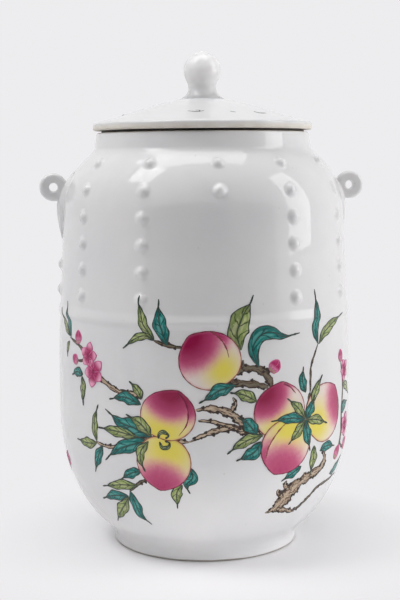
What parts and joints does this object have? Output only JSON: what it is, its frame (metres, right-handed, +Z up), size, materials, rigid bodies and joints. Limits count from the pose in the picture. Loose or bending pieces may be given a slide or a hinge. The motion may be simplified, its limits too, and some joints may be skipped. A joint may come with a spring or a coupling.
{
  "type": "tea canister",
  "caption": "Round porcelain tea jar with rows of raised studs, small side lugs and a lift-off domed lid with a bud knob and a soft sealing ring, for keeping tea or dry goods.",
  "frame": {"origin": "centre of the foot ring, on the table", "axes": "+Z up along the jar's axis, +X towards the right ear, -Y towards the front"},
  "size_m": [0.164, 0.148, 0.2482],
  "materials": {
    "porcelain": "glossy white glaze",
    "seal": "matte dark silicone"
  },
  "bodies": {
    "jar": {"jar_body": "porcelain", "left_ear": "porcelain", "right_ear": "porcelain", "stud_row_01": "porcelain", "stud_row_02": "porcelain", "stud_row_03": "porcelain", "stud_row_04": "porcelain", "stud_row_05": "porcelain", "stud_row_06": "porcelain", "stud_row_07": "porcelain", "stud_row_08": "porcelain", "stud_row_09": "porcelain", "stud_row_10": "porcelain", "stud_row_11": "porcelain", "stud_row_12": "porcelain"},
    "seal": {"lid_seal": "seal"},
    "lid": {"lid": "porcelain", "lid_knob": "porcelain"}
  },
  "joints": [
    {"name": "lid_lift", "type": "slide", "parent": "jar", "child": "seal", "axis": [0, 0, 1], "range_m": [0, 0.12]},
    {"name": "lid_turn", "type": "hinge", "parent": "seal", "child": "lid", "pos_m": [0, 0, 0.2086], "axis": [0, 0, 1], "continuous": true}
  ]
}
